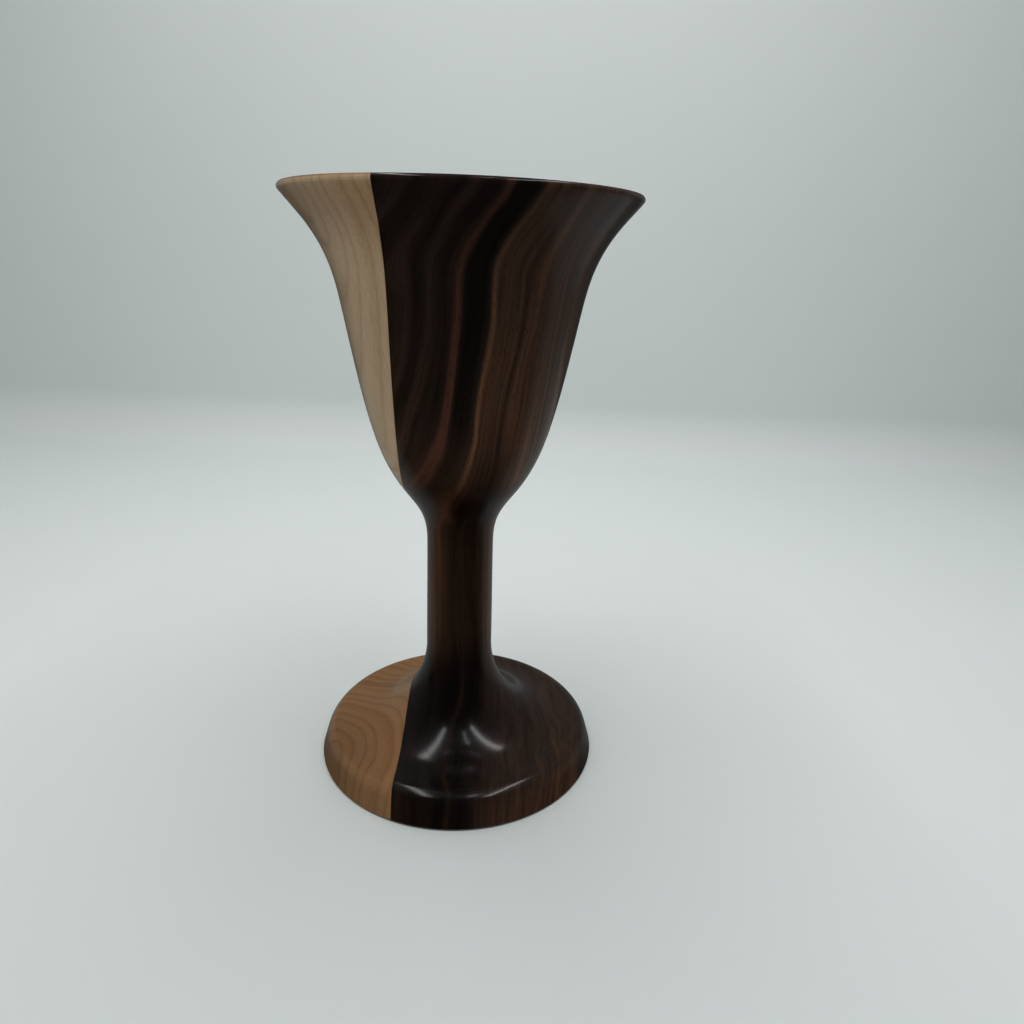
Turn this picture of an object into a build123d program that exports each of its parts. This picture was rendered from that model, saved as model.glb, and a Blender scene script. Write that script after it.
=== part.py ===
from build123d import *

import os
from math import cos, radians, sin

# Communion chalice, turned on a lathe from one glued blank of walnut and maple.
#
# The blank is a walnut block with a maple board glued along one side, and the whole
# chalice, cup, stem and foot, is turned from it.  The stem is slimmer than the walnut,
# so turning leaves the maple as two separate pieces, one let into the wall of the cup
# and one let into the foot, each held by its own face of the glue joint.
#
# Millimetres.  +Z is up, the origin is the centre of the plane that the foot stands on,
# and -X points at the maple.

# Heights, stacked from the table up
foot_height = 34.0  # table to the top of the foot's cove, where the stem begins
stem_length = 32.0
cup_height = 90.4  # stem to the crest of the lip

# Stem
stem_foot_radius = 9.5  # where it rises from the foot
stem_neck_radius = 9.3  # where it meets the cup

# Foot: a leaning edge, a nearly flat land inside it, then a hollow cove up to the stem
foot_radius = 40.75  # at the table
foot_edge_lean = 2.35  # how far the edge leans in on its way up
foot_edge_height = 8.5
foot_edge_round = 3.5  # rounds the edge over into the land
foot_land_run = 4.9  # from the edge in to the start of the cove
foot_land_rise = 0.4
arris = 0.5  # small flat that takes the sharpness off the foot's lowest edge

# Underside of the foot, dished so that it stands on a flat ring
ring_width = 7.0
dish_lip_depth = 0.9
dish_lip_run = 1.2
dish_depth = 2.0

# Cup
rim_radius = 43.8
wall_thickness = 3.6  # over the lower half, and it thins from there to the lip
lip_thickness = 1.8
floor_thickness = 16.0  # wood from the neck up to the bottom of the hollow
flare_angle = 39.5  # of the wall at the lip, from vertical

# The cup's outside between neck and lip, as shares of its height and of its flare
cup_stations = [
    (0.085, 0.0375),
    (0.18, 0.202),
    (0.271, 0.336),
    (0.408, 0.451),
    (0.68, 0.6),
    (0.817, 0.693),
    (0.909, 0.829),
]
# Shares of that outline, from neck to lip, where the hollow is held one wall inside it
wall_stations = [0.36, 0.5, 0.64, 0.78, 0.9]

# Glue joint between the two woods
glue_offset = 14.27  # from the axis to the middle of the glue
glue_thickness = 0.1

neck_height = foot_height + stem_length
total_height = neck_height + cup_height
foot_edge_radius = foot_radius - foot_edge_lean
cove_radius = foot_edge_radius - foot_land_run
cove_height = foot_edge_height + foot_land_rise
ring_outer_radius = foot_radius - arris
ring_inner_radius = ring_outer_radius - ring_width


def wall_at(share):
    """Thickness of the cup's wall, which thins evenly over its upper half to the lip."""
    upper_half = max(0.0, 2 * share - 1)
    return wall_thickness + (lip_thickness - wall_thickness) * upper_half


def inward(outline, share, distance):
    """The point that lies this far inside an outline that runs upwards."""
    along = outline % share
    return outline @ share + Vector(-along.Y, along.X) * distance


def lowest_point(solid):
    """Height of a solid's lowest point, which tells a foot piece from a cup piece."""
    return solid.bounding_box().min.Z


# The lip is a half round across the end of the flaring wall
flare = Vector(sin(radians(flare_angle)), cos(radians(flare_angle)))
across = Vector(flare.Y, -flare.X)
lip_round = lip_thickness / 2
lip_centre = Vector(rim_radius - lip_round, total_height - lip_round)
lip_outside = lip_centre + across * lip_round
lip_inside = lip_centre - across * lip_round

cup_points = [
    (
        stem_neck_radius + (rim_radius - stem_neck_radius) * out,
        neck_height + cup_height * up,
    )
    for up, out in cup_stations
]

# The turned blank: half its section, swept once round the axis
with BuildPart() as turned_blank:
    with BuildSketch(Plane.XZ) as half_section:
        with BuildLine():
            # Underside, from the axis out: dish, its short lip, the ring and the arris
            dish_edge = (ring_inner_radius - dish_lip_run, dish_lip_depth)
            dish = Spline([(0, dish_depth), dish_edge], tangents=[(1, 0), (1, -0.1)])
            dish_lip = Line(dish @ 1, (ring_inner_radius, 0))
            ring = Line(dish_lip @ 1, (ring_outer_radius, 0))
            edge_arris = Line(ring @ 1, (foot_radius, arris))
            # Top of the foot, from the edge in: leaning edge, land and cove
            edge = Line(edge_arris @ 1, (foot_edge_radius, foot_edge_height))
            land = Spline(
                [edge @ 1, (cove_radius, cove_height)],
                tangents=[(-1, 0.16), (-1, 0)],
            )
            cove = EllipticalCenterArc(
                center=(cove_radius, foot_height),
                x_radius=cove_radius - stem_foot_radius,
                y_radius=foot_height - cove_height,
                start_angle=180,
                arc_size=90,
            )
            # Stem, and the outside of the cup up to the lip
            stem = Spline(
                [(stem_foot_radius, foot_height), (stem_neck_radius, neck_height)],
                tangents=[(0, 1), (0, 1)],
            )
            outside = Spline(
                [stem @ 1, *cup_points, lip_outside],
                tangents=[(0, 1), (flare.X, flare.Y)],
            )
            lip = ThreePointArc(lip_outside, lip_centre + flare * lip_round, lip_inside)
            # Hollow of the cup, from its floor on the axis up to the lip
            hollow_floor = (0, neck_height + floor_thickness)
            wall_points = [inward(outside, share, wall_at(share)) for share in wall_stations]
            hollow = Spline(
                [hollow_floor, *wall_points, lip_inside],
                tangents=[(1, 0), (flare.X, flare.Y)],
            )
            axis = Line(hollow @ 0, dish @ 0)
        make_face()
        shoulder = half_section.vertices().sort_by_distance(edge @ 1)[0]
        fillet(shoulder, radius=foot_edge_round)
    revolve(axis=Axis.Z)

# The two faces of the glue joint, with their normals pointing away from the maple
joint_plane = Plane(origin=(-glue_offset, 0, 0), z_dir=(1, 0, 0))
walnut_face = joint_plane.offset(glue_thickness / 2)
maple_face = joint_plane.offset(-glue_thickness / 2)

# Walnut: most of the cup, the whole stem and most of the foot
with BuildPart() as walnut_body:
    add(turned_blank.part)
    split(bisect_by=walnut_face, keep=Keep.TOP)

# Maple: the two pieces that turning leaves of the board, foot below and cup above
with BuildPart() as maple_board:
    add(turned_blank.part)
    split(bisect_by=maple_face, keep=Keep.BOTTOM)
foot_maple, cup_maple = maple_board.solids().sort_by(lowest_point)

with BuildPart() as maple_foot_panel:
    add(foot_maple)

with BuildPart() as maple_cup_panel:
    add(cup_maple)

# Glue: the film between the two faces, left where there is still maple to hold
with BuildPart() as glue_film:
    add(turned_blank.part)
    with BuildSketch(joint_plane):
        Circle(total_height + rim_radius)
    extrude(amount=glue_thickness / 2, both=True, mode=Mode.INTERSECT)
foot_film, cup_film = glue_film.solids().sort_by(lowest_point)

with BuildPart() as foot_glue_line:
    add(foot_film)

with BuildPart() as cup_glue_line:
    add(cup_film)

walnut_body.part.label = "walnut_body"
maple_cup_panel.part.label = "maple_cup_panel"
maple_foot_panel.part.label = "maple_foot_panel"
cup_glue_line.part.label = "cup_glue_line"
foot_glue_line.part.label = "foot_glue_line"

os.makedirs("parts", exist_ok=True)
export_step(walnut_body.part, "parts/walnut_body.step")
export_step(maple_cup_panel.part, "parts/maple_cup_panel.step")
export_step(maple_foot_panel.part, "parts/maple_foot_panel.step")
export_step(cup_glue_line.part, "parts/cup_glue_line.step")
export_step(foot_glue_line.part, "parts/foot_glue_line.step")
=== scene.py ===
import math

import bmesh
import bpy
import numpy as np
from bpy.props import FloatProperty, FloatVectorProperty, IntProperty, PointerProperty
from mathutils import Matrix, Vector


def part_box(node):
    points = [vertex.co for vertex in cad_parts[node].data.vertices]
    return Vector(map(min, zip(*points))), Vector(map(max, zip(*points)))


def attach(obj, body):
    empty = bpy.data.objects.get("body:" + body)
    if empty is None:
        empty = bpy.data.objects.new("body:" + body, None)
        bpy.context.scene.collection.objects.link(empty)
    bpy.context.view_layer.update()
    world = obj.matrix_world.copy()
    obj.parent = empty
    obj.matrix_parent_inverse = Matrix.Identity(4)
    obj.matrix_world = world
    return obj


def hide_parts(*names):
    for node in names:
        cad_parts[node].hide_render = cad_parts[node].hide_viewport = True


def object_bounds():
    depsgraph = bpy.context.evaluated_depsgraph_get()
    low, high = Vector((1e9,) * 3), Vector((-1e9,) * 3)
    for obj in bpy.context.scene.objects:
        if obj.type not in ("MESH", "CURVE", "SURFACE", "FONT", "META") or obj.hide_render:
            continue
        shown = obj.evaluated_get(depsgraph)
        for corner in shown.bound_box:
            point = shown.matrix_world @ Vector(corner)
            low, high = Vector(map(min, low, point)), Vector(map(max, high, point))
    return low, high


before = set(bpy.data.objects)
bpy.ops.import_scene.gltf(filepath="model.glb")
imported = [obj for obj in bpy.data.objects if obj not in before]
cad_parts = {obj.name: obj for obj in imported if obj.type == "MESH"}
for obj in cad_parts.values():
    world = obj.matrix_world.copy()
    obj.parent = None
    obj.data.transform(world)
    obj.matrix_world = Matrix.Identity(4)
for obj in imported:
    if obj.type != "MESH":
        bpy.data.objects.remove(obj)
cad_low, cad_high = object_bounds()

bl_info = {
    "name": "Turned Chalice",
    "version": (1, 0, 0),
    "blender": (4, 5, 0),
    "location": "3D View > Sidebar > Chalice",
    "description": "Turns a walnut and maple chalice and sets it on a pale studio stage",
    "category": "Add Mesh",
}

MM = 0.001
MM_IN_A_METRE = 1000.0
# Points of a piece closer than this become one, and edges bent past this angle stay sharp
WELD = 2e-6
CREASE = math.radians(30)
BODY = "root"
GLUE_LOW, GLUE_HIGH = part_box("cup_glue_line")

# The cup's outside between neck and lip, as shares of its height and of its flare
CUP_STATIONS = [
    (0.085, 0.0375),
    (0.18, 0.202),
    (0.271, 0.336),
    (0.408, 0.451),
    (0.68, 0.6),
    (0.817, 0.693),
    (0.909, 0.829),
]
# Shares of that outline, from neck to lip, where the hollow is held one wall inside it
WALL_STATIONS = [0.36, 0.5, 0.64, 0.78, 0.9]


# ------------------------------------------------------------------ small helpers
def linear(hex_colour):
    """An sRGB hex colour such as '#4A2B1E' as linear red, green, blue and alpha."""
    channels = [int(hex_colour[i : i + 2], 16) / 255 for i in (1, 3, 5)]
    curve = [c / 12.92 if c <= 0.04045 else ((c + 0.055) / 1.055) ** 2.4 for c in channels]
    return (*curve, 1.0)


def add_node(tree, kind, sockets=(), **settings):
    """Adds a node with its settings.  sockets says what goes in, in order or by name: a
    value, an output, or a node, which stands for its first output."""
    node = tree.nodes.new(kind)
    for name, value in settings.items():
        setattr(node, name, value)
    pairs = sockets.items() if isinstance(sockets, dict) else enumerate(sockets)
    for name, value in pairs:
        shown = [s for s in node.inputs if s.enabled]
        socket = shown[name] if isinstance(name, int) else next(s for s in shown if s.name == name)
        if isinstance(value, bpy.types.Node):
            value = next(s for s in value.outputs if s.enabled)
        if isinstance(value, bpy.types.NodeSocket):
            tree.links.new(value, socket)
        else:
            socket.default_value = value
    return node


def bare_material(name):
    """A new material and its node tree, which is empty."""
    material = bpy.data.materials.new(name)
    material.use_nodes = True
    material.node_tree.nodes.clear()
    return material, material.node_tree


# ------------------------------------------------------------------ outline of the turning
def end_slope(points, gaps, heading):
    """The heading at the end of a smooth line, as long as the line is fast there: the slope
    of the parabola through its first three points, or of the straight line through two."""
    slope = (points[1] - points[0]) / gaps[0]
    if len(points) > 2:
        next_slope = (points[2] - points[1]) / gaps[1]
        slope = slope - gaps[0] * (next_slope - slope) / (gaps[0] + gaps[1])
    return np.array(heading) * np.abs(slope).sum() / np.abs(heading).sum()


def smooth_line(points, start, end, count):
    """count points along the smooth cubic through these points, from heading to heading."""
    points = np.array(points, float)
    gaps = np.linalg.norm(np.diff(points, axis=0), axis=1)
    knots = np.concatenate([[0], np.cumsum(gaps)])
    system = np.eye(len(points))
    known = np.zeros_like(points)
    known[0] = end_slope(points[:3], gaps[:2], start)
    known[-1] = end_slope(points[:-4:-1], gaps[:-3:-1], end)
    for i in range(1, len(points) - 1):
        before, after = gaps[i - 1], gaps[i]
        system[i, i - 1 : i + 2] = after, 2 * (before + after), before
        rise_before = (points[i] - points[i - 1]) / before
        rise_after = (points[i + 1] - points[i]) / after
        known[i] = 3 * (after * rise_before + before * rise_after)
    slopes = np.linalg.solve(system, known)
    where = np.linspace(0, knots[-1], count)
    piece = np.clip(np.searchsorted(knots, where, side="right") - 1, 0, len(gaps) - 1)
    gap = gaps[piece][:, None]
    t = (where - knots[piece])[:, None] / gap
    return (
        points[piece] * (1 + 2 * t) * (1 - t) ** 2
        + points[piece + 1] * t**2 * (3 - 2 * t)
        + slopes[piece] * gap * t * (1 - t) ** 2
        + slopes[piece + 1] * gap * t**2 * (t - 1)
    )


def straight_line(start, end, count):
    """count points from start to end."""
    return np.linspace(np.array(start, float), np.array(end, float), count)


def rounded_shoulder(edge, land, radius, count):
    """Edge line, arc and land, where an arc of this radius rounds the corner they meet at."""
    along = (edge[-1] - edge[0]) / np.linalg.norm(edge[-1] - edge[0])
    inward = np.array([-along[1], along[0]])
    heading = np.gradient(land, axis=0)
    heading /= np.linalg.norm(heading, axis=1)[:, None]
    centres = land + np.stack([-heading[:, 1], heading[:, 0]], axis=1) * radius
    depth = (centres - edge[0]) @ inward
    i = int(np.argmax(depth > radius))
    share = (radius - depth[i - 1]) / (depth[i] - depth[i - 1])
    centre = centres[i - 1] + (centres[i] - centres[i - 1]) * share
    leave = land[i - 1] + (land[i] - land[i - 1]) * share
    touch = centre - inward * radius
    first = math.atan2(*(touch - centre)[::-1])
    last = math.atan2(*(leave - centre)[::-1])
    angles = np.linspace(first, last, count)
    arc = centre + radius * np.stack([np.cos(angles), np.sin(angles)], axis=1)
    return touch, arc, land[i:]


def chalice_outline(sizes):
    """Half the chalice's section as (radius, height) points in metres, from the middle of the
    underside out, up the outside, over the lip and down to the middle of the hollow."""
    stem_foot, stem_neck = sizes.stem_foot_radius, sizes.stem_neck_radius
    neck_height = sizes.foot_height + sizes.stem_length
    cup_height = sizes.total_height - neck_height
    edge_radius = sizes.foot_radius - sizes.foot_edge_lean
    edge_height = sizes.foot_edge_height
    cove_radius = edge_radius - sizes.foot_land_run
    cove_height = edge_height + sizes.foot_land_rise
    ring_outer = sizes.foot_radius - sizes.arris
    ring_inner = ring_outer - sizes.ring_width
    dish_edge = (ring_inner - sizes.dish_lip_run, sizes.dish_lip_depth)

    dish = smooth_line([(0, sizes.dish_depth), dish_edge], (1, 0), (1, -0.1), 26)
    dish_lip = straight_line(dish_edge, (ring_inner, 0), 5)
    ring = straight_line((ring_inner, 0), (ring_outer, 0), 8)
    arris = straight_line((ring_outer, 0), (sizes.foot_radius, sizes.arris), 3)
    edge_top = (edge_radius, edge_height)
    edge = straight_line((sizes.foot_radius, sizes.arris), edge_top, 2)
    land = smooth_line([edge_top, (cove_radius, cove_height)], (-1, 0.16), (-1, 0), 200)
    touch, shoulder, land = rounded_shoulder(edge, land, sizes.foot_edge_round, 12)
    edge = straight_line(edge[0], touch, 7)
    land = land[:: max(1, len(land) // 8)]
    turn = np.linspace(0, math.pi / 2, 34)
    cove = np.stack(
        [
            cove_radius - (cove_radius - stem_foot) * np.sin(turn),
            sizes.foot_height - (sizes.foot_height - cove_height) * np.cos(turn),
        ],
        axis=1,
    )
    stem_ends = [(stem_foot, sizes.foot_height), (stem_neck, neck_height)]
    stem = smooth_line(stem_ends, (0, 1), (0, 1), 16)

    flare = np.array([math.sin(sizes.flare_angle), math.cos(sizes.flare_angle)])
    across = np.array([flare[1], -flare[0]])
    lip_round = sizes.lip_thickness / 2
    lip_centre = np.array([sizes.rim_radius - lip_round, sizes.total_height - lip_round])
    cup_points = [
        (stem_neck + (sizes.rim_radius - stem_neck) * out, neck_height + cup_height * up)
        for up, out in CUP_STATIONS
    ]
    cup_points = [(stem_neck, neck_height), *cup_points, lip_centre + across * lip_round]
    outside = smooth_line(cup_points, (0, 1), flare, 4001)
    heading = np.gradient(outside, axis=0)
    heading /= np.linalg.norm(heading, axis=1)[:, None]
    run = np.cumsum(np.linalg.norm(np.diff(outside, axis=0), axis=1))
    inner_points = []
    for share in WALL_STATIONS:
        at = int(np.searchsorted(run, share * run[-1])) + 1
        upper_half = max(0.0, 2 * share - 1)
        wall = sizes.wall_thickness + (sizes.lip_thickness - sizes.wall_thickness) * upper_half
        inner_points.append(outside[at] + np.array([-heading[at][1], heading[at][0]]) * wall)
    floor = (0, neck_height + sizes.floor_thickness)
    inner_points = [floor, *inner_points, lip_centre - across * lip_round]
    hollow = smooth_line(inner_points, (1, 0), flare, 74)[::-1]
    half_turn = np.linspace(0, math.pi, 13)[:, None]
    lip = lip_centre + lip_round * (across * np.cos(half_turn) + flare * np.sin(half_turn))
    outside = outside[::50]

    runs = [dish, dish_lip, ring, arris, edge, shoulder, land, cove, stem, outside, lip, hollow]
    line = np.concatenate([runs[0], *[run[1:] for run in runs[1:]]])
    keep = np.ones(len(line), bool)
    keep[1:] = np.linalg.norm(np.diff(line, axis=0), axis=1) > 1e-6
    return line[keep]


def split_at_radii(line, radii):
    """The same outline with a point added wherever it crosses one of these radii."""
    points = []
    for a, b in zip(line[:-1], line[1:]):
        points.append(a)
        low, high = min(a[0], b[0]), max(a[0], b[0])
        inside = [r for r in radii if low + 1e-6 < r < high - 1e-6]
        for radius in sorted(inside, reverse=bool(a[0] > b[0])):
            share = (radius - a[0]) / (b[0] - a[0])
            points.append(np.array([radius, a[1] + (b[1] - a[1]) * share]))
    points.append(line[-1])
    return np.array(points)


# ------------------------------------------------------------------ lathe
def lathe_tree():
    """Geometry Nodes that turn an outline, a row of points (radius, 0, height), into a solid
    on one side of a flat glue joint, and close it with the joint's face."""
    tree = bpy.data.node_groups.get("lathe")
    if tree:
        return tree
    tree = bpy.data.node_groups.new("lathe", "GeometryNodeTree")
    tree.is_modifier = True
    face = tree.interface
    face.new_socket("Outline", in_out="INPUT", socket_type="NodeSocketGeometry")
    face.new_socket("Joint distance", in_out="INPUT", socket_type="NodeSocketFloat")
    face.new_socket("Facing", in_out="INPUT", socket_type="NodeSocketFloat")
    face.new_socket("Steps", in_out="INPUT", socket_type="NodeSocketInt")
    face.new_socket("Crease angle", in_out="INPUT", socket_type="NodeSocketFloat")
    face.new_socket("Wood", in_out="INPUT", socket_type="NodeSocketMaterial")
    face.new_socket("Turned piece", in_out="OUTPUT", socket_type="NodeSocketGeometry")
    given = add_node(tree, "NodeGroupInput").outputs
    outline, joint, facing = given["Outline"], given["Joint distance"], given["Facing"]

    size = add_node(tree, "GeometryNodeAttributeDomainSize", [outline], component="MESH")
    rows = size.outputs["Point Count"]
    gaps = add_node(tree, "ShaderNodeMath", [rows, 1], operation="SUBTRACT")
    columns = add_node(tree, "ShaderNodeMath", [given["Steps"], 1], operation="ADD")
    net = add_node(
        tree,
        "GeometryNodeMeshGrid",
        {"Size X": 2, "Size Y": gaps, "Vertices X": columns, "Vertices Y": rows},
    )
    # Each row of the net takes the radius and height of one outline point
    place = add_node(tree, "ShaderNodeSeparateXYZ", [add_node(tree, "GeometryNodeInputPosition")])
    half = add_node(tree, "ShaderNodeMath", [gaps, 2], operation="DIVIDE")
    row = add_node(tree, "ShaderNodeMath", [place.outputs["Y"], half], operation="ADD")
    row = add_node(tree, "ShaderNodeMath", [row], operation="ROUND")
    sample = add_node(
        tree,
        "GeometryNodeSampleIndex",
        {
            "Geometry": outline,
            "Value": add_node(tree, "GeometryNodeInputPosition"),
            "Index": row,
        },
        data_type="FLOAT_VECTOR",
        domain="POINT",
    )
    profile = add_node(tree, "ShaderNodeSeparateXYZ", [sample])
    radius, height = profile.outputs["X"], profile.outputs["Z"]
    # The wood spans the turn that the joint leaves on its side at this radius
    reach = add_node(tree, "ShaderNodeMath", [joint, radius], operation="DIVIDE")
    reach = add_node(tree, "ShaderNodeMath", [reach, 1], operation="MINIMUM")
    opening = add_node(tree, "ShaderNodeMath", [reach], operation="ARCCOSINE")
    span = add_node(tree, "ShaderNodeMath", [math.pi, facing], operation="SUBTRACT")
    span = add_node(tree, "ShaderNodeMath", [span, opening], operation="SUBTRACT")
    span = add_node(tree, "ShaderNodeMath", [span], operation="ABSOLUTE")
    turn = add_node(
        tree, "ShaderNodeMath", [place.outputs["X"], span, facing], operation="MULTIPLY_ADD"
    )
    side = add_node(tree, "ShaderNodeMath", [turn], operation="COSINE")
    side = add_node(tree, "ShaderNodeMath", [side, radius], operation="MULTIPLY")
    depth = add_node(tree, "ShaderNodeMath", [turn], operation="SINE")
    depth = add_node(tree, "ShaderNodeMath", [depth, radius], operation="MULTIPLY")
    turned = add_node(tree, "ShaderNodeCombineXYZ", [side, depth, height])
    wall = add_node(tree, "GeometryNodeSetPosition", {"Geometry": net, "Position": turned})
    wall = add_node(tree, "GeometryNodeMergeByDistance", {"Geometry": wall, "Distance": WELD})

    # The open edges lie in the joint's plane: laid flat, filled and stood up again
    open_edge = add_node(tree, "GeometryNodeInputMeshEdgeNeighbors")
    open_edge = add_node(tree, "ShaderNodeMath", [open_edge, 1.5], operation="LESS_THAN")
    rim = add_node(tree, "GeometryNodeMeshToCurve", {"Mesh": wall, "Selection": open_edge})
    way = add_node(tree, "ShaderNodeMath", [facing], operation="COSINE")
    way = add_node(tree, "ShaderNodeMath", [way, -1], operation="MULTIPLY")
    place = add_node(tree, "ShaderNodeSeparateXYZ", [add_node(tree, "GeometryNodeInputPosition")])
    across = add_node(tree, "ShaderNodeMath", [place.outputs["Y"], way], operation="MULTIPLY")
    flat = add_node(tree, "ShaderNodeCombineXYZ", [across, place.outputs["Z"], 0])
    rim = add_node(tree, "GeometryNodeSetPosition", {"Geometry": rim, "Position": flat})
    cap = add_node(tree, "GeometryNodeFillCurve", {"Curve": rim}, mode="NGONS")
    place = add_node(tree, "ShaderNodeSeparateXYZ", [add_node(tree, "GeometryNodeInputPosition")])
    behind = add_node(tree, "ShaderNodeMath", [joint, -1], operation="MULTIPLY")
    across = add_node(tree, "ShaderNodeMath", [place.outputs["X"], way], operation="MULTIPLY")
    stood = add_node(tree, "ShaderNodeCombineXYZ", [behind, across, place.outputs["Y"]])
    cap = add_node(tree, "GeometryNodeSetPosition", {"Geometry": cap, "Position": stood})

    solid = add_node(tree, "GeometryNodeJoinGeometry")
    tree.links.new(cap.outputs[0], solid.inputs[0])
    tree.links.new(wall.outputs[0], solid.inputs[0])
    solid = add_node(tree, "GeometryNodeMergeByDistance", {"Geometry": solid, "Distance": WELD})
    solid = add_node(
        tree, "GeometryNodeSetShadeSmooth", {"Geometry": solid, "Shade Smooth": True}, domain="FACE"
    )
    crease = add_node(tree, "GeometryNodeInputMeshEdgeAngle")
    crease = add_node(
        tree, "ShaderNodeMath", [crease, given["Crease angle"]], operation="GREATER_THAN"
    )
    solid = add_node(
        tree,
        "GeometryNodeSetShadeSmooth",
        {"Geometry": solid, "Selection": crease, "Shade Smooth": False},
        domain="EDGE",
    )
    solid = add_node(tree, "GeometryNodeRealizeInstances", [solid])
    solid = add_node(
        tree, "GeometryNodeSetMaterial", {"Geometry": solid, "Material": given["Wood"]}
    )
    add_node(tree, "NodeGroupOutput", [solid])
    return tree


def turn_piece(name, outline, joint, facing, steps, wood):
    """A turned piece as a plain mesh: its outline, run through the lathe tree."""
    points = bpy.data.meshes.new(name)
    points.from_pydata([(r, 0, z) for r, z in outline], [], [])
    piece = bpy.data.objects.new(name, points)
    bpy.context.scene.collection.objects.link(piece)
    lathe = piece.modifiers.new("lathe", "NODES")
    lathe.node_group = lathe_tree()
    named = {s.name: s.identifier for s in lathe.node_group.interface.items_tree}
    lathe[named["Joint distance"]] = joint
    lathe[named["Facing"]] = facing
    lathe[named["Steps"]] = steps
    lathe[named["Crease angle"]] = CREASE
    lathe[named["Wood"]] = wood
    bpy.context.view_layer.update()
    ready = piece.evaluated_get(bpy.context.evaluated_depsgraph_get())
    mesh = bpy.data.meshes.new_from_object(ready)
    piece.modifiers.remove(lathe)
    piece.data = mesh
    mesh.name = name
    mesh.materials.clear()
    mesh.materials.append(wood)
    mesh.polygons.foreach_set("material_index", [0] * len(mesh.polygons))
    if len(mesh.polygons) < steps:
        raise RuntimeError(f"the lathe made nothing of {name}")
    return piece


# ------------------------------------------------------------------ woods and glue
# Walnut's growth layers across the blank: distance in mm and sRGB colour.  They change on their way
# up the blank, so the cup, the foot and the stem between them have their own sets.  The foot's and
# the stem's sets also carry painted light: shade in the foot's cove and sheen on the stem's sides.
CUP_LAYERS = [
    (-44, "#3A2A22"), (-38, "#563D2F"), (-33, "#382822"), (-28, "#5A4033"), (-22, "#3A2A23"),
    (-17, "#5C4235"), (-13, "#443028"), (-9, "#563D30"), (-5.5, "#46332A"), (-3, "#5A4134"),
    (-1, "#5A4134"), (0.6, "#463229"), (3.5, "#4E392D"), (6.6, "#553C2F"), (8.0, "#6E503E"),
    (9.0, "#2C201B"), (10.5, "#1E1815"), (14.2, "#211915"), (15.1, "#50332A"), (15.9, "#5A382C"),
    (16.8, "#30211C"), (19.5, "#271D19"), (21.5, "#3E2D25"), (23.5, "#271D19"), (26.5, "#402F27"),
    (29, "#2A1F1A"), (33, "#3C2C24"), (38, "#2C211C"), (44, "#3A2A23"),
]
# The near-black layers from -2.5 to 13 mm are partly painted shade: they darken the front of the
# foot's cove, under the cup
FOOT_LAYERS_AND_SHADE = [
    (-44, "#3A2C25"), (-36, "#382A23"), (-32, "#5C4536"), (-29.5, "#523C2F"), (-26.5, "#5C4434"),
    (-24, "#4A362B"), (-21, "#543F33"), (-19, "#46342A"), (-16.5, "#533D31"), (-14, "#4A372D"),
    (-10.5, "#4C372C"), (-7, "#3F2E26"), (-4.5, "#3A2A23"), (-2.5, "#231916"), (0.5, "#17110F"),
    (2.2, "#1F1613"), (3.0, "#3C291D"), (3.9, "#1C1512"), (6, "#15100E"), (8.2, "#2A1E19"),
    (10, "#1C1310"), (13, "#2B1B15"), (15.5, "#2E221D"), (19, "#221A16"), (27, "#3C2C24"),
    (35, "#2A201B"), (44, "#33261F"),
]
# The pale layers at -8 and 7 to 9 mm fall on the stem's two sides as the camera sees it, and the
# dark ones between on its front: partly painted sheen on the sides
STEM_LAYERS_AND_SHEEN = [
    (-44, "#3A2A23"), (-30, "#4E382D"), (-23, "#3C2B23"), (-18, "#523B2F"), (-14, "#3A2922"),
    (-11, "#4A352B"), (-8, "#664A3D"), (-5.5, "#553D32"), (-2.5, "#35261F"), (0.5, "#2A1D18"),
    (3.5, "#2E211B"), (5.5, "#2E211B"), (7.2, "#523C31"), (9, "#4A362C"), (12, "#3E2C24"),
    (16, "#54392F"), (20, "#3A2A22"), (25, "#4A362B"), (31, "#36271F"), (44, "#453228"),
]

# How the walnut's tone changes with height in mm, where #BCBCBC leaves it as it is: darkest in the
# foot's cove, lighter in the stem and low in the cup, and dark and reddish between those.  Partly
# the wood's own tone and partly painted light: the dark of the cove is painted shade under the cup,
# the lighter stem is partly painted sheen, and the dark reddish band at the neck is a painted dark
# reflection of the foot
HEIGHT_TONES_AND_SHADE = [
    (0, "#D3CBBF"), (8, "#C4BDB1"), (14, "#9B9488"), (30, "#A09889"), (42, "#DBCFB4"),
    (66, "#D8CAAC"), (74, "#C4B18F"), (78.5, "#A88169"), (83.5, "#A88169"), (88.5, "#DACEB7"),
    (97, "#E1D6C4"), (112, "#D3CCBF"), (132, "#C0BBB3"), (157, "#BCB8B1"),
]

# Distance in mm from the axis that the walnut's layers are given for, and height the tints end
LAYER_REACH = 45.0
TINT_TOP = 160.0
# Slant in radians of the walnut's layers across the blank, and how far in mm they wander
FOOT_SLANT = 0.087
CUP_SLANT = 0.559
WALNUT_WANDER = 9.0
# The maple's growth rings, in mm: their middle, which lies just outside the turned wood, and
# the width of one.  Their tones run from one dark line of late wood to the next
PITH = (-43.0, -24.0, 0.0)
RING_WIDTH = 3.6
MAPLE_SIDE_TONES = [
    (0.0, "#C4A687"), (0.16, "#D1B496"), (0.5, "#D2B695"), (0.84, "#CBAE8E"), (1.0, "#C4A687"),
]
# Darker tones, for end grain and for painted shade low in the foot
MAPLE_END_AND_SHADE_TONES = [
    (0.0, "#856141"), (0.16, "#936E4A"), (0.5, "#946F4A"), (0.84, "#8D6845"), (1.0, "#856141"),
]


def place_in_mm(tree):
    """Where a point of the piece is, in mm from the middle of the foot."""
    where = add_node(tree, "ShaderNodeTexCoord").outputs["Object"]
    return add_node(
        tree, "ShaderNodeVectorMath", {"Vector": where, "Scale": MM_IN_A_METRE}, operation="SCALE"
    )


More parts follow.
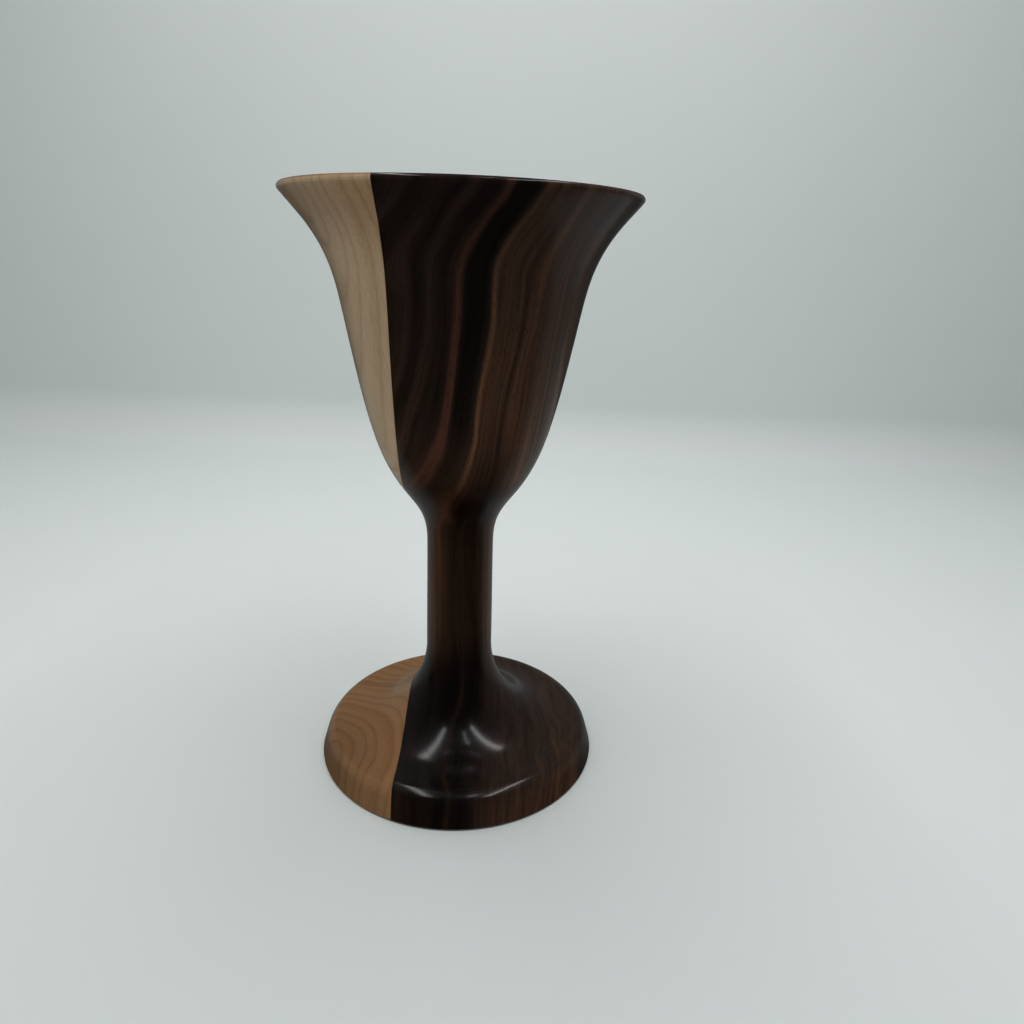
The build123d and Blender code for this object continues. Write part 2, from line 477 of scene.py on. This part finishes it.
def end_grain_and_shade(tree):
    """0 where the surface runs along the grain, 1 where it cuts square across it, that is where it
    faces up or down.  Both woods go darker there: partly as end grain, which soaks up more of the
    finish, and partly as painted shade, as on the foot's top under the cup."""
    normal = add_node(tree, "ShaderNodeTexCoord").outputs["Normal"]
    up = add_node(tree, "ShaderNodeSeparateXYZ", [normal]).outputs["Z"]
    up = add_node(tree, "ShaderNodeMath", [up], operation="ABSOLUTE")
    return add_node(
        tree,
        "ShaderNodeMapRange",
        {"Value": up, "From Min": 0.25, "From Max": 0.95},
        interpolation_type="SMOOTHSTEP",
    )


def walnut_finish(look):
    """Black walnut, turned and lacquered: dark brown growth layers that run up through the blank,
    fine streaks, short dark pores and a clear gloss coat over a soft wood sheen.  The layer and
    height tones also carry painted light: shade in the foot's cove and at the neck, and sheen on
    the stem's sides.  Faces that look up or down are darker, partly as end grain and partly as
    painted shade."""
    material, tree = bare_material("walnut_turned_gloss_lacquer")
    where = place_in_mm(tree)
    part = add_node(tree, "ShaderNodeSeparateXYZ", [where]).outputs
    # The layers turn from square across the blank at the foot to a slant at the cup
    slant = add_node(
        tree,
        "ShaderNodeMapRange",
        {
            "Value": part["Z"],
            "From Min": 10.0,
            "From Max": 36.0,
            "To Min": FOOT_SLANT,
            "To Max": CUP_SLANT,
        },
        interpolation_type="SMOOTHSTEP",
    )
    cosine = add_node(tree, "ShaderNodeMath", [slant], operation="COSINE")
    sine = add_node(tree, "ShaderNodeMath", [slant], operation="SINE")
    # Slow wander of the layers, in mm, longer along the grain than across it
    long_grain = add_node(tree, "ShaderNodeMapping", {"Vector": where, "Scale": (1.0, 1.0, 0.35)})
    wander = add_node(
        tree,
        "ShaderNodeTexNoise",
        {"Vector": long_grain, "Scale": 0.045, "Detail": 2.5, "Roughness": 0.45},
    )
    wander = add_node(tree, "ShaderNodeMath", [wander, 0.5], operation="SUBTRACT")
    wander = add_node(tree, "ShaderNodeMath", [wander, WALNUT_WANDER], operation="MULTIPLY")
    layer = add_node(tree, "ShaderNodeMath", [part["X"], cosine], operation="MULTIPLY")
    layer = add_node(tree, "ShaderNodeMath", [part["Y"], sine, layer], operation="MULTIPLY_ADD")
    layer = add_node(tree, "ShaderNodeMath", [wander, layer], operation="SUBTRACT")
    # Near the lip the layers lean over with the flare of the wall
    lean = add_node(
        tree,
        "ShaderNodeMapRange",
        {"Value": part["Z"], "From Min": 138.0, "From Max": 158.0, "To Min": 0.0, "To Max": 5.0},
        interpolation_type="SMOOTHSTEP",
    )
    layer = add_node(tree, "ShaderNodeMath", [layer, lean], operation="ADD")
    along = add_node(tree, "ShaderNodeMath", [part["X"], sine], operation="MULTIPLY")
    along = add_node(tree, "ShaderNodeMath", [part["Y"], cosine, along], operation="MULTIPLY_ADD")
    ramps = []
    across_blank = (layer, -LAYER_REACH, LAYER_REACH)
    up_chalice = (part["Z"], 0.0, TINT_TOP)
    for (measure, low, high), colours in (
        (across_blank, FOOT_LAYERS_AND_SHADE),
        (across_blank, STEM_LAYERS_AND_SHEEN),
        (across_blank, CUP_LAYERS),
        (up_chalice, HEIGHT_TONES_AND_SHADE),
    ):
        share = add_node(
            tree, "ShaderNodeMapRange", {"Value": measure, "From Min": low, "From Max": high}
        )
        ramp = add_node(tree, "ShaderNodeValToRGB", [share])
        stops = ramp.color_ramp.elements
        stops.remove(stops[1])
        for i, (distance, colour) in enumerate(colours):
            position = (distance - low) / (high - low)
            stop = stops[0] if i == 0 else stops.new(position)
            stop.position = position
            stop.color = linear(colour)
        ramps.append(ramp)
    foot, stem, cup, tint = ramps
    layered = foot
    for low, high, upper in ((22.0, 38.0, stem), (78.0, 112.0, cup)):
        upward = add_node(
            tree,
            "ShaderNodeMapRange",
            {"Value": part["Z"], "From Min": low, "From Max": high},
            interpolation_type="SMOOTHSTEP",
        )
        layered = add_node(
            tree, "ShaderNodeMix", {"Factor": upward, "A": layered, "B": upper}, data_type="RGBA"
        )
    # The height tones multiply the layers, bringing in the painted shade of the cove and the neck
    # and the painted sheen of the stem
    layered = add_node(tree, "ShaderNodeVectorMath", [layered, tint], operation="MULTIPLY")
    # The tint that changes nothing is half bright, so the product is doubled
    doubled = [2 * channel for channel in look.walnut_tint]
    layered = add_node(tree, "ShaderNodeVectorMath", [layered, doubled], operation="MULTIPLY")
    # Fine streaks about 0.8 to 2 mm across, some 60 mm long
    streak_place = add_node(tree, "ShaderNodeCombineXYZ", [layer, along, part["Z"]])
    streak_place = add_node(
        tree, "ShaderNodeMapping", {"Vector": streak_place, "Scale": (0.8, 0.12, 0.017)}
    )
    streaks = add_node(
        tree,
        "ShaderNodeTexNoise",
        {"Vector": streak_place, "Scale": 1.0, "Detail": 4.0, "Roughness": 0.6},
    )
    streak_share = add_node(
        tree,
        "ShaderNodeMapRange",
        {"Value": streaks, "From Min": 0.32, "From Max": 0.68, "To Min": 0.6, "To Max": 1.36},
    )
    # Faces that look up or down are up to 45% darker: end grain, and painted shade on the foot's
    # top under the cup
    kept = add_node(
        tree, "ShaderNodeMath", [end_grain_and_shade(tree), -0.45, 1.0], operation="MULTIPLY_ADD"
    )
    streak_share = add_node(
        tree, "ShaderNodeMath", [streak_share, kept], operation="MULTIPLY"
    )
    tone = add_node(
        tree, "ShaderNodeVectorMath", {"Vector": layered, "Scale": streak_share}, operation="SCALE"
    )
    # Pores: dark dashes along the grain, about 0.2 mm wide and 4 mm long
    pore_place = add_node(tree, "ShaderNodeMapping", {"Vector": where, "Scale": (1.9, 1.9, 0.11)})
    pores = add_node(
        tree, "ShaderNodeTexVoronoi", {"Vector": pore_place, "Scale": 1.0, "Randomness": 1.0}
    )
    pore = add_node(
        tree,
        "ShaderNodeMapRange",
        {
            "Value": pores.outputs["Distance"],
            "From Min": 0.12,
            "From Max": 0.26,
            "To Min": 0.55,
            "To Max": 0.0,
        },
    )
    colour = add_node(
        tree,
        "ShaderNodeMix",
        {"Factor": pore, "A": tone, "B": linear("#0E0806")},
        data_type="RGBA",
    )
    dull = add_node(
        tree,
        "ShaderNodeMapRange",
        {"Value": streaks, "From Min": 0.3, "From Max": 0.7, "To Min": 0.34, "To Max": 0.46},
    )
    relief = add_node(tree, "ShaderNodeMath", [pore, -1.0], operation="MULTIPLY")
    bump = add_node(
        tree, "ShaderNodeBump", {"Strength": 0.15, "Distance": 0.00005, "Height": relief}
    )
    shader = add_node(
        tree,
        "ShaderNodeBsdfPrincipled",
        {
            "Base Color": colour,
            "Roughness": dull,
            "IOR": 1.45,
            "Specular IOR Level": 0.15,
            "Normal": bump,
            "Coat Weight": 1.0,
            "Coat Roughness": look.coat_roughness,
            "Coat IOR": 1.5,
        },
    )
    add_node(tree, "ShaderNodeOutputMaterial", [shader])
    return material


def maple_finish(look):
    """Hard maple, turned and lacquered: pale and close grained, with thin darker growth rings,
    faint fine streaks along the grain and a clear gloss coat.  Low in the foot, at its left front
    and on faces that look up or down it is darker and more brown: painted shade, and on those faces
    partly end grain."""
    material, tree = bare_material("maple_turned_gloss_lacquer")
    where = place_in_mm(tree)
    long_grain = add_node(tree, "ShaderNodeMapping", {"Vector": where, "Scale": (1.0, 1.0, 0.3)})
    wander = add_node(
        tree,
        "ShaderNodeTexNoise",
        {"Vector": long_grain, "Scale": 0.05, "Detail": 2.0, "Roughness": 0.5},
    )
    wander = add_node(tree, "ShaderNodeMath", [wander, 0.5], operation="SUBTRACT")
    # Growth rings about the pith of the board, which wander and differ in width by a few mm
    pith = add_node(tree, "ShaderNodeVectorMath", [where, PITH], operation="SUBTRACT")
    pith = add_node(tree, "ShaderNodeVectorMath", [pith, (1.0, 1.0, 0.0)], operation="MULTIPLY")
    ring = add_node(tree, "ShaderNodeVectorMath", [pith], operation="LENGTH").outputs["Value"]
    # Darker near the pith, which lies just off the foot's left front edge: painted shade on that
    # side of the foot
    pith_side_shade = add_node(
        tree,
        "ShaderNodeMapRange",
        {"Value": ring, "From Min": 5.0, "From Max": 28.0, "To Min": 0.7, "To Max": 1.12},
    )
    ring = add_node(tree, "ShaderNodeMath", [wander, 5.0, ring], operation="MULTIPLY_ADD")
    uneven = add_node(
        tree,
        "ShaderNodeTexNoise",
        {"W": ring, "Scale": 0.2, "Detail": 1.0},
        noise_dimensions="1D",
    )
    ring = add_node(tree, "ShaderNodeMath", [uneven, 6.0, ring], operation="MULTIPLY_ADD")
    ring = add_node(tree, "ShaderNodeMath", [ring, RING_WIDTH], operation="DIVIDE")
    ring = add_node(tree, "ShaderNodeMath", [ring], operation="FRACT")
    faces = []
    for tones in (MAPLE_SIDE_TONES, MAPLE_END_AND_SHADE_TONES):
        ramp = add_node(tree, "ShaderNodeValToRGB", [ring])
        stops = ramp.color_ramp.elements
        stops[0].position, stops[0].color = 0.0, linear(tones[0][1])
        stops[1].position, stops[1].color = 1.0, linear(tones[-1][1])
        for position, tint in tones[1:-1]:
            stops.new(position).color = linear(tint)
        faces.append(ramp.outputs["Color"])
    # Painted shade at the foot's left front darkens the end tones
    faces[1] = add_node(
        tree, "ShaderNodeVectorMath", {"Vector": faces[1], "Scale": pith_side_shade}, operation="SCALE"
    )
    # Low down, in the foot, the maple takes the darker, more brown end tones all over: painted
    # shade under the cup.  Faces that look up or down take them too: end grain, and partly painted
    # shade
    height = add_node(tree, "ShaderNodeSeparateXYZ", [where]).outputs["Z"]
    low_shade_and_end_grain = add_node(
        tree,
        "ShaderNodeMapRange",
        {"Value": height, "From Min": 14.0, "From Max": 60.0, "To Min": 0.9, "To Max": 0.0},
    )
    low_shade_and_end_grain = add_node(tree, "ShaderNodeMath", [low_shade_and_end_grain, end_grain_and_shade(tree)], operation="MAXIMUM")
    wood = add_node(
        tree,
        "ShaderNodeMix",
        {"Factor": low_shade_and_end_grain, "A": faces[0], "B": faces[1]},
        data_type="RGBA",
    )
    fine_place = add_node(tree, "ShaderNodeMapping", {"Vector": where, "Scale": (1.6, 1.6, 0.05)})
    fine = add_node(
        tree,
        "ShaderNodeTexNoise",
        {"Vector": fine_place, "Scale": 1.0, "Detail": 4.0, "Roughness": 0.6},
    )
    light = add_node(
        tree,
        "ShaderNodeMapRange",
        {"Value": fine, "From Min": 0.3, "From Max": 0.7, "To Min": 0.92, "To Max": 1.1},
    )
    colour = add_node(
        tree, "ShaderNodeVectorMath", {"Vector": wood, "Scale": light}, operation="SCALE"
    )
    colour = add_node(
        tree, "ShaderNodeVectorMath", [colour, tuple(look.maple_tint)], operation="MULTIPLY"
    )
    dull = add_node(
        tree,
        "ShaderNodeMapRange",
        {"Value": fine, "From Min": 0.3, "From Max": 0.7, "To Min": 0.36, "To Max": 0.46},
    )
    bump = add_node(tree, "ShaderNodeBump", {"Strength": 0.1, "Distance": 0.00003, "Height": fine})
    shader = add_node(
        tree,
        "ShaderNodeBsdfPrincipled",
        {
            "Base Color": colour,
            "Roughness": dull,
            "IOR": 1.45,
            "Specular IOR Level": 0.15,
            "Normal": bump,
            "Coat Weight": 1.0,
            "Coat Roughness": look.coat_roughness,
            "Coat IOR": 1.5,
        },
    )
    add_node(tree, "ShaderNodeOutputMaterial", [shader])
    return material


def glue_finish(look):
    """Wood glue, clamped and turned flush: a thin amber line, darkened by the lacquer."""
    material, tree = bare_material("wood_glue_turned_flush")
    where = add_node(tree, "ShaderNodeTexCoord").outputs["Object"]
    # Patches a few mm long where more or less glue is left in the line
    patches = add_node(
        tree,
        "ShaderNodeTexNoise",
        {"Vector": where, "Scale": 300.0, "Detail": 2.0, "Roughness": 0.5},
    )
    colour = add_node(
        tree,
        "ShaderNodeMix",
        {"Factor": patches, "A": linear("#3A2619"), "B": (*look.glue_colour, 1)},
        data_type="RGBA",
    )
    shader = add_node(
        tree,
        "ShaderNodeBsdfPrincipled",
        {
            "Base Color": colour,
            "Roughness": 0.4,
            "Coat Weight": 1.0,
            "Coat Roughness": look.coat_roughness,
        },
    )
    add_node(tree, "ShaderNodeOutputMaterial", [shader])
    return material


# ------------------------------------------------------------------ stage
def backdrop_finish(look):
    """Matt backdrop sheet, plain and pale: a very faint mottle keeps it from looking flat."""
    material, tree = bare_material("matt_backdrop_sheet")
    where = add_node(tree, "ShaderNodeTexCoord").outputs["Object"]
    mottle = add_node(
        tree, "ShaderNodeTexNoise", {"Vector": where, "Scale": 6.0, "Detail": 2.0, "Roughness": 0.5}
    )
    pale = (*[0.96 * c for c in look.backdrop_colour], 1)
    colour = add_node(
        tree,
        "ShaderNodeMix",
        {"Factor": mottle, "A": pale, "B": (*look.backdrop_colour, 1)},
        data_type="RGBA",
    )
    shader = add_node(tree, "ShaderNodeBsdfDiffuse", {"Color": colour})
    add_node(tree, "ShaderNodeOutputMaterial", [shader])
    return material


def backdrop(look):
    """Floor and wall in one pale sheet, with a tight bend between them.  The lacquer doesn't
    reflect it, so the dark wood shows no wide pale glare."""
    near, far, half, bend, top = -3.5, 0.37, 3.0, 0.035, 2.6
    # Rows of points on either side of the bend keep its soft shading off the rest of the sheet
    last_on_floor, first_on_wall = far - bend - 0.4, 0.34
    turn = np.linspace(0, math.pi / 2, 25)
    profile = [(near, 0.0), (last_on_floor, 0.0)]
    profile += [(far - bend + bend * math.sin(a), bend - bend * math.cos(a)) for a in turn]
    profile += [(far, first_on_wall), (far, top)]
    built = bmesh.new()
    rows = [[built.verts.new((x, y, z)) for x in (-half, half)] for y, z in profile]
    for low, high in zip(rows[:-1], rows[1:]):
        built.faces.new((low[0], low[1], high[1], high[0]))
    mesh = bpy.data.meshes.new("backdrop")
    built.to_mesh(mesh)
    built.free()
    mesh.polygons.foreach_set("use_smooth", [True] * len(mesh.polygons))
    mesh.materials.append(backdrop_finish(look))
    sheet = bpy.data.objects.new("backdrop", mesh)
    bpy.context.scene.collection.objects.link(sheet)
    sheet.visible_glossy = False


def black_flag():
    """A card over the floor, black in front of the chalice and pale grey beside and behind it.
    It is seen only in the lacquer's reflections, and keeps the dark wood dark."""
    near, far, half, height = -1.2, 1.5, 1.2, 0.0005
    corners = [(x, y, height) for x, y in ((-half, near), (half, near), (half, far), (-half, far))]
    mesh = bpy.data.meshes.new("black_flag")
    mesh.from_pydata(corners, [], [(0, 1, 2, 3)])
    card, tree = bare_material("matt_black_card")
    where = add_node(tree, "ShaderNodeTexCoord").outputs["Object"]
    depth = add_node(tree, "ShaderNodeSeparateXYZ", [where]).outputs["Y"]
    fade = add_node(
        tree,
        "ShaderNodeMapRange",
        {"Value": depth, "From Min": -0.03, "From Max": 0.02},
        interpolation_type="SMOOTHSTEP",
    )
    tone = add_node(
        tree,
        "ShaderNodeMix",
        {"Factor": fade, "A": linear("#0C0C0C"), "B": linear("#8A8D8C")},
        data_type="RGBA",
    )
    shader = add_node(tree, "ShaderNodeBsdfDiffuse", {"Color": tone})
    add_node(tree, "ShaderNodeOutputMaterial", [shader])
    mesh.materials.append(card)
    flag = bpy.data.objects.new("black_flag", mesh)
    flag.visible_camera = False
    flag.visible_diffuse = False
    flag.visible_shadow = False
    bpy.context.scene.collection.objects.link(flag)


def room_glow():
    """Soft light from all round.  The lacquer sees a room that is dark in front of the chalice,
    and the camera sees a plain pale one."""
    world = bpy.data.worlds.new("room_glow")
    world.use_nodes = True
    tree = world.node_tree
    tree.nodes.clear()
    heading = add_node(tree, "ShaderNodeTexCoord").outputs["Generated"]
    depth = add_node(tree, "ShaderNodeSeparateXYZ", [heading]).outputs["Y"]
    mirrored = add_node(
        tree,
        "ShaderNodeMapRange",
        {"Value": depth, "From Min": -0.8, "From Max": 0.3, "To Min": 0.02, "To Max": 0.15},
        interpolation_type="SMOOTHSTEP",
    )
    rays = add_node(tree, "ShaderNodeLightPath").outputs
    seen = add_node(
        tree, "ShaderNodeMix", {"Factor": rays["Is Camera Ray"], "A": 0.235, "B": 0.45}
    )
    level = add_node(
        tree, "ShaderNodeMix", {"Factor": rays["Is Glossy Ray"], "A": seen, "B": mirrored}
    )
    glow = add_node(tree, "ShaderNodeBackground", {"Color": linear("#F2F6F5"), "Strength": level})
    add_node(tree, "ShaderNodeOutputWorld", [glow])
    return world


# Studio lights: name, place, aim, width and length in m, power in W, and whether the lacquer
# mirrors it.  The three strips draw the streaks in the cove and along the foot's shoulder
LIGHTS = [
    ("diffuser_above", (0.0, 0.1, 0.62), (0.0, 0.1, 0.0), (0.55, 0.55), 1.9, False),
    ("fill_front", (-0.7, -0.9, 0.5), (0.0, 0.0, 0.1), (1.0, 1.0), 0.9, False),
    ("strip_left", (-0.15, -0.08, 0.5), (-0.12, -0.08, 0.0), (0.035, 0.42), 0.28, True),
    ("strip_middle", (0.083, -0.17, 0.5), (0.07, -0.17, 0.0), (0.015, 0.16), 0.045, True),
    ("strip_right", (0.205, -0.08, 0.5), (0.16, -0.08, 0.0), (0.035, 0.42), 0.32, True),
]


def soft_light(name, place, aim, size, power, mirrored):
    """An area light at place, facing aim, with its long side running front to back."""
    lamp = bpy.data.lights.new(name, "AREA")
    lamp.shape = "RECTANGLE"
    lamp.size, lamp.size_y = size
    lamp.energy = power
    holder = bpy.data.objects.new(name, lamp)
    back = (Vector(place) - Vector(aim)).normalized()
    side = Vector((0, 1, 0)).cross(back).normalized()
    turn = Matrix((side, back.cross(side), back)).transposed().to_4x4()
    holder.matrix_world = Matrix.Translation(place) @ turn
    holder.visible_glossy = mirrored
    bpy.context.scene.collection.objects.link(holder)


# Tone curve, as (light before, light after): shadows deepened, pales kept
TONES = [
    (0.0, 0.0), (0.01, 0.006), (0.03, 0.019), (0.06, 0.042), (0.12, 0.094), (0.2, 0.17),
    (0.35, 0.325), (0.5, 0.49), (0.7, 0.7), (1.0, 1.0),
]


def set_tone(scene):
    """A contrasty tone curve, in which dark wood goes nearly black in the shade."""
    view = scene.view_settings
    view.view_transform = "Standard"
    view.use_curve_mapping = True
    curve = view.curve_mapping.curves[3]
    while len(curve.points) > 2:
        curve.points.remove(curve.points[1])
    for light, tone in TONES[1:-1]:
        curve.points.new(light, tone)
    view.curve_mapping.update()


def set_camera(view):
    """The camera: where it stands, how it is turned and tipped, and its lens."""
    yaw, pitch, roll = view.yaw, view.pitch, view.roll
    forward = Vector(
        (math.sin(yaw) * math.cos(pitch), math.cos(yaw) * math.cos(pitch), -math.sin(pitch))
    )
    right = Vector((math.cos(yaw), -math.sin(yaw), 0))
    up = right.cross(forward)
    across = right * math.cos(roll) + up * math.sin(roll)
    upward = up * math.cos(roll) - right * math.sin(roll)
    lens = bpy.data.cameras.new("camera")
    lens.lens = view.lens
    lens.sensor_width = 36.0
    lens.clip_start = 0.01
    holder = bpy.data.objects.new("camera", lens)
    turn = Matrix((across, upward, -forward)).transposed().to_4x4()
    holder.matrix_world = Matrix.Translation(Vector(view.place)) @ turn
    bpy.context.scene.collection.objects.link(holder)
    bpy.context.scene.camera = holder


# ------------------------------------------------------------------ settings
class ChaliceSizes(bpy.types.PropertyGroup):
    """Sizes of the chalice."""

    total_height: FloatProperty(
        name="Total height", description="Table to lip", default=cad_high[2], unit="LENGTH"
    )
    foot_height: FloatProperty(
        name="Foot height", description="Table to the stem", default=34 * MM, unit="LENGTH"
    )
    stem_length: FloatProperty(
        name="Stem length", description="Foot to cup", default=32 * MM, unit="LENGTH"
    )
    stem_foot_radius: FloatProperty(
        name="Stem radius below", description="Where it rises from the foot", default=9.5 * MM,
        unit="LENGTH",
    )
    stem_neck_radius: FloatProperty(
        name="Stem radius above", description="Where it meets the cup", default=9.3 * MM,
        unit="LENGTH",
    )
    foot_radius: FloatProperty(
        name="Foot radius", description="Radius of the foot just above the table",
        default=-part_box("maple_foot_panel")[0][0], unit="LENGTH",
    )
    foot_edge_lean: FloatProperty(
        name="Edge lean", description="How far the foot's edge leans in", default=2.35 * MM,
        unit="LENGTH",
    )
    foot_edge_height: FloatProperty(
        name="Edge height", description="Height of the foot's edge", default=8.5 * MM,
        unit="LENGTH",
    )
    foot_edge_round: FloatProperty(
        name="Edge rounding", description="Radius that rounds the edge into the land",
        default=5 * MM, unit="LENGTH",
    )
    foot_land_run: FloatProperty(
        name="Land", description="Width of the flat land inside the edge", default=4.9 * MM,
        unit="LENGTH",
    )
    foot_land_rise: FloatProperty(
        name="Land rise", description="Rise of the land up to the cove", default=0.4 * MM,
        unit="LENGTH",
    )
    arris: FloatProperty(
        name="Arris", description="Small flat at the foot's lowest edge", default=0.5 * MM,
        unit="LENGTH",
    )
    ring_width: FloatProperty(
        name="Resting ring", description="Width of the ring it stands on", default=7 * MM,
        unit="LENGTH",
    )
    dish_lip_depth: FloatProperty(
        name="Dish lip depth", description="Depth of the dish at its lip", default=0.9 * MM,
        unit="LENGTH",
    )
    dish_lip_run: FloatProperty(
        name="Dish lip run", description="Width of the dish's sloping lip", default=1.2 * MM,
        unit="LENGTH",
    )
    dish_depth: FloatProperty(
        name="Dish depth", description="Depth of the dish in the middle", default=2 * MM,
        unit="LENGTH",
    )
    rim_radius: FloatProperty(
        name="Rim radius", description="Radius of the lip", default=cad_high[0], unit="LENGTH"
    )
    wall_thickness: FloatProperty(
        name="Wall", description="Thickness of the cup's lower wall", default=3.6 * MM,
        unit="LENGTH",
    )
    lip_thickness: FloatProperty(
        name="Lip", description="Thickness of the wall at the lip", default=1.8 * MM,
        unit="LENGTH",
    )
    floor_thickness: FloatProperty(
        name="Floor", description="Wood from the neck to the hollow", default=16 * MM,
        unit="LENGTH",
    )
    flare_angle: FloatProperty(
        name="Flare", description="Angle of the wall at the lip from upright",
        default=math.radians(39.5), subtype="ANGLE",
    )
    walnut_joint: FloatProperty(
        name="Joint, walnut face", description="Axis to the walnut's face of the glue joint",
        default=-GLUE_HIGH[0], unit="LENGTH",
    )
    maple_joint: FloatProperty(
        name="Joint, maple face", description="Axis to the maple's face of the glue joint",
        default=-GLUE_LOW[0], unit="LENGTH",
    )
    steps: IntProperty(
        name="Steps", description="Facets round a whole turn", default=232, min=24
    )


class ChaliceLook(bpy.types.PropertyGroup):
    """Finishes of the chalice."""

    coat_roughness: FloatProperty(
        name="Coat roughness", description="Haze of the clear lacquer", default=0.16, min=0, max=1
    )
    walnut_tint: FloatVectorProperty(
        name="Walnut tint", description="Colour that multiplies the walnut", default=(1, 1, 1),
        subtype="COLOR", min=0, max=1,
    )
    maple_tint: FloatVectorProperty(
        name="Maple tint", description="Colour that multiplies the maple", default=(1, 1, 1),
        subtype="COLOR", min=0, max=1,
    )
    glue_colour: FloatVectorProperty(
        name="Glue", description="Colour of the glue line at its palest",
        default=linear("#7A5638")[:3], subtype="COLOR", min=0, max=1,
    )
    backdrop_colour: FloatVectorProperty(
        name="Backdrop", description="Colour of the floor and wall",
        default=linear("#E6EBEA")[:3], subtype="COLOR", min=0, max=1,
    )


class ChaliceView(bpy.types.PropertyGroup):
    """The camera."""

    place: FloatVectorProperty(
        name="Place", description="Where the camera stands",
        default=(0.01743, -0.19531, 0.14229), unit="LENGTH",
    )
    yaw: FloatProperty(
        name="Yaw", description="Turn to the right of straight ahead",
        default=math.radians(-0.89), subtype="ANGLE",
    )
    pitch: FloatProperty(
        name="Pitch", description="Tip down from level", default=math.radians(19.13),
        subtype="ANGLE",
    )
    roll: FloatProperty(
        name="Roll", description="Lean of the frame", default=math.radians(1.98), subtype="ANGLE"
    )
    lens: FloatProperty(
        name="Lens", description="Focal length in mm on a 36 mm wide sensor", default=26.02
    )


# ------------------------------------------------------------------ operators
class CHALICE_OT_walnut_body(bpy.types.Operator):
    """Turns the walnut body: most of the cup, the whole stem and most of the foot"""

    bl_idname = "chalice.walnut_body"
    bl_label = "Walnut body"

    def execute(self, context):
        sizes = context.scene.chalice_sizes
        outline = chalice_outline(sizes)
        outline = split_at_radii(outline, joint_radii(sizes))
        wood = walnut_finish(context.scene.chalice_look)
        name = "walnut_cup_stem_and_foot"
        piece = turn_piece(name, outline, sizes.walnut_joint, 0.0, sizes.steps, wood)
        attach(piece, BODY)
        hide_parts("walnut_body")
        return {"FINISHED"}


def joint_radii(sizes):
    """Radii where both woods' outlines need a point: where they meet the joint's two faces,
    and close steps just past it, so that the joint's edge is drawn as a smooth curve."""
    radii = []
    for joint in (sizes.walnut_joint, sizes.maple_joint):
        radii.append(joint)
        radii += [math.hypot(joint, step * MM) for step in range(1, 9)]
    return radii


def maple_runs(sizes, outline):
    """The outline of the maple in the foot and in the cup: where it is outside the joint."""
    outside = outline[:, 0] > sizes.maple_joint - 1e-7
    edges = np.flatnonzero(np.diff(outside.astype(int)))
    starts = edges[::2] + 1
    ends = edges[1::2] + 1
    runs = [outline[a:b].copy() for a, b in zip(starts, ends)]
    if len(runs) != 2:
        raise RuntimeError(f"the joint should leave maple in two places, and leaves {len(runs)}")
    return runs


class CHALICE_OT_maple_panels(bpy.types.Operator):
    """Turns the two maple pieces, one in the cup and one in the foot"""

    bl_idname = "chalice.maple_panels"
    bl_label = "Maple panels"

    def execute(self, context):
        sizes = context.scene.chalice_sizes
        outline = split_at_radii(chalice_outline(sizes), joint_radii(sizes))
        wood = maple_finish(context.scene.chalice_look)
        for node, run in zip(("maple_foot_panel", "maple_cup_panel"), maple_runs(sizes, outline)):
            name = node.replace("_panel", "_side")
            piece = turn_piece(name, run, sizes.maple_joint, math.pi, sizes.steps // 2, wood)
            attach(piece, BODY)
            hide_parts(node)
        return {"FINISHED"}


class CHALICE_OT_glue_lines(bpy.types.Operator):
    """Gives the two glue lines their finish"""

    bl_idname = "chalice.glue_lines"
    bl_label = "Glue lines"

    def execute(self, context):
        glue = glue_finish(context.scene.chalice_look)
        for name in ("cup_glue_line", "foot_glue_line"):
            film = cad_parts[name]
            film.data.materials.clear()
            film.data.materials.append(glue)
        return {"FINISHED"}


class CHALICE_OT_stage(bpy.types.Operator):
    """Sets the camera, the pale backdrop and the soft lights"""

    bl_idname = "chalice.stage"
    bl_label = "Stage"

    def execute(self, context):
        scene = context.scene
        set_camera(scene.chalice_view)
        backdrop(scene.chalice_look)
        black_flag()
        for light in LIGHTS:
            soft_light(*light)
        scene.world = room_glow()
        set_tone(scene)
        return {"FINISHED"}


class CHALICE_PT_panel(bpy.types.Panel):
    """Lists the chalice's sizes, finishes and makers"""

    bl_label = "Turned Chalice"
    bl_idname = "CHALICE_PT_panel"
    bl_space_type = "VIEW_3D"
    bl_region_type = "UI"
    bl_category = "Chalice"

    def draw(self, context):
        scene = context.scene
        for group in (scene.chalice_sizes, scene.chalice_look, scene.chalice_view):
            box = self.layout.box()
            for name in group.__annotations__:
                box.prop(group, name)
        for maker in OPERATORS:
            self.layout.operator(maker.bl_idname)


GROUPS = (ChaliceSizes, ChaliceLook, ChaliceView)
OPERATORS = (
    CHALICE_OT_stage,
    CHALICE_OT_walnut_body,
    CHALICE_OT_maple_panels,
    CHALICE_OT_glue_lines,
)


def register():
    for kind in (*GROUPS, *OPERATORS, CHALICE_PT_panel):
        bpy.utils.register_class(kind)
    bpy.types.Scene.chalice_sizes = PointerProperty(type=ChaliceSizes)
    bpy.types.Scene.chalice_look = PointerProperty(type=ChaliceLook)
    bpy.types.Scene.chalice_view = PointerProperty(type=ChaliceView)


def unregister():
    del bpy.types.Scene.chalice_view
    del bpy.types.Scene.chalice_look
    del bpy.types.Scene.chalice_sizes
    for kind in reversed((*GROUPS, *OPERATORS, CHALICE_PT_panel)):
        bpy.utils.unregister_class(kind)


def main():
    register()
    bpy.ops.chalice.stage()
    bpy.ops.chalice.walnut_body()
    bpy.ops.chalice.maple_panels()
    bpy.ops.chalice.glue_lines()


if __name__ == "__main__":
    main()
